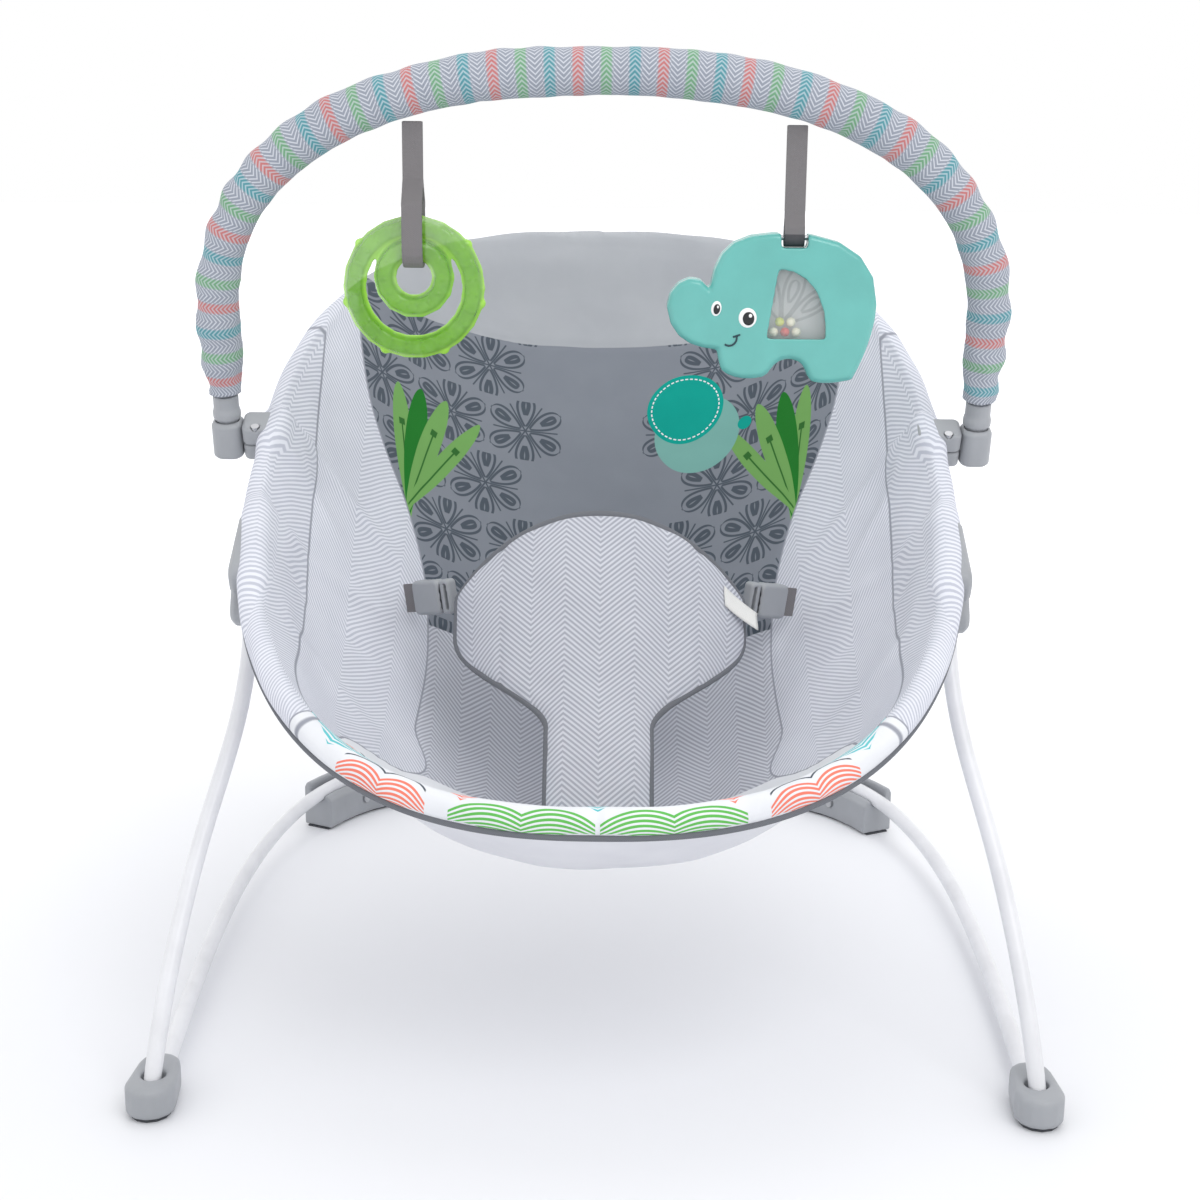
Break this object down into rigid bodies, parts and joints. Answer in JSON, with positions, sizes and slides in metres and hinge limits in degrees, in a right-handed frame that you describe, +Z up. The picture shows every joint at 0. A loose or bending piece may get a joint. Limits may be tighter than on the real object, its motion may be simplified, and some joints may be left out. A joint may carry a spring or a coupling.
{
  "type": "baby bouncer seat",
  "caption": "Baby bouncer seat: fabric bucket on an oval tube frame, springy wire uprights on a floor frame with grip feet, and a lift-out toy bar with two hanging toys.",
  "frame": {"origin": "on the floor under the middle of the object", "axes": "+Z up, +Y towards the top of the seat's back, +X to the right seen from the front; the toy bar's pivots lie along X"},
  "size_m": [0.499, 0.5344, 0.5552],
  "materials": {
    "white_paint": "white powder coat",
    "grey_plastic": "fine satin moulded plastic",
    "rubber": "matt grip pad",
    "screw_steel": "zinc-plated screws and pins",
    "seat_fabric": "light grey herringbone woven cloth over thin wadding",
    "sleeve_fabric": "striped chevron cloth over foam",
    "webbing": "grey woven webbing",
    "green_gel": "translucent green soft plastic",
    "teal_plastic": "glossy turquoise plastic",
    "clear_plastic": "clear plastic window",
    "ear_grey": "pale grey printed panel",
    "bead_yellow_green": "glossy bead",
    "bead_red": "glossy bead",
    "bead_cream": "glossy bead"
  },
  "bodies": {
    "base": {"base_tube": "white_paint", "left_front_foot": "grey_plastic", "right_front_foot": "grey_plastic", "left_front_foot_pad": "rubber", "right_front_foot_pad": "rubber", "left_rear_foot": "grey_plastic", "right_rear_foot": "grey_plastic", "left_rear_foot_pad": "rubber", "right_rear_foot_pad": "rubber", "left_rear_foot_screw": "screw_steel", "right_rear_foot_screw": "screw_steel"},
    "seat": {"upper_frame_tube": "white_paint", "lower_frame_tube": "white_paint", "centre_panel": "seat_fabric", "front_panel": "seat_fabric", "left_side_panel": "seat_fabric", "right_side_panel": "seat_fabric", "restraint_pad": "seat_fabric", "left_upright": "white_paint", "right_upright": "white_paint", "left_hub_outer_shell": "grey_plastic", "right_hub_outer_shell": "grey_plastic", "left_hub_inner_shell": "grey_plastic", "right_hub_inner_shell": "grey_plastic", "left_hub_screw_lower": "screw_steel", "right_hub_screw_lower": "screw_steel", "left_hub_screw_upper": "screw_steel", "right_hub_screw_upper": "screw_steel", "left_bar_clamp_upper": "grey_plastic", "right_bar_clamp_upper": "grey_plastic", "left_bar_clamp_lower": "grey_plastic", "right_bar_clamp_lower": "grey_plastic", "left_bar_clamp_screw": "screw_steel", "right_bar_clamp_screw": "screw_steel", "left_buckle_receptacle": "grey_plastic", "right_buckle_receptacle": "grey_plastic", "left_waist_strap": "webbing", "right_waist_strap": "webbing"},
    "left_clip": {"left_buckle_clip": "grey_plastic"},
    "right_clip": {"right_buckle_clip": "grey_plastic"},
    "bar_cups": {"left_bar_cup": "grey_plastic", "right_bar_cup": "grey_plastic"},
    "toy_bar": {"toy_bar_tube": "grey_plastic", "toy_bar_sleeve": "sleeve_fabric", "left_bar_end_plug": "grey_plastic", "right_bar_end_plug": "grey_plastic"},
    "teether_strap": {"left_toy_strap": "webbing"},
    "teether": {"teether_ring": "green_gel"},
    "rattle_strap": {"right_toy_strap": "webbing"},
    "rattle": {"rattle_front_shell": "teal_plastic", "rattle_back_shell": "teal_plastic", "rattle_ear_window": "clear_plastic", "rattle_ear_panel": "ear_grey", "rattle_strap_pin": "screw_steel"},
    "beads": {"rattle_bead_1": "bead_cream", "rattle_bead_2": "bead_red", "rattle_bead_3": "bead_cream", "rattle_bead_4": "bead_yellow_green", "rattle_bead_5": "bead_red"}
  },
  "joints": [
    {"name": "seat_bounce", "type": "hinge", "parent": "base", "child": "seat", "pos_m": [0, -0.2461, 0.0075], "axis": [1, 0, 0], "range_deg": [-3, 2], "stiffness_Nm_per_rad": 120, "springref_deg": 1.72},
    {"name": "left_clip_release", "type": "slide", "parent": "seat", "child": "left_clip", "axis": [0.741, -0.6409, 0.2003], "range_m": [0, 0.016]},
    {"name": "right_clip_release", "type": "slide", "parent": "seat", "child": "right_clip", "axis": [-0.741, -0.6409, 0.2003], "range_m": [0, 0.016]},
    {"name": "toy_bar_tilt", "type": "hinge", "parent": "seat", "child": "bar_cups", "pos_m": [0, 0.0263, 0.3186], "axis": [1, 0, 0], "range_deg": [-40, 45]},
    {"name": "toy_bar_lift_out", "type": "slide", "parent": "bar_cups", "child": "toy_bar", "axis": [0, -0.2588, 0.9659], "range_m": [0, 0.03]},
    {"name": "teether_strap_swing", "type": "hinge", "parent": "toy_bar", "child": "teether_strap", "pos_m": [-0.111, -0.0303, 0.5297], "axis": [1, 0, 0], "range_deg": [-25, 25]},
    {"name": "teether_swing", "type": "hinge", "parent": "teether_strap", "child": "teether", "pos_m": [-0.111, -0.0303, 0.4468], "axis": [1, 0, 0], "range_deg": [-12, 12]},
    {"name": "rattle_strap_swing", "type": "hinge", "parent": "toy_bar", "child": "rattle_strap", "pos_m": [0.111, -0.0303, 0.5297], "axis": [1, 0, 0], "range_deg": [-25, 25]},
    {"name": "rattle_swing", "type": "hinge", "parent": "rattle_strap", "child": "rattle", "pos_m": [0.111, -0.0303, 0.44875], "axis": [1, 0, 0], "range_deg": [-30, 30]},
    {"name": "bead_rise", "type": "slide", "parent": "rattle", "child": "beads", "axis": [0, 0, 1], "range_m": [0, 0.012]}
  ]
}
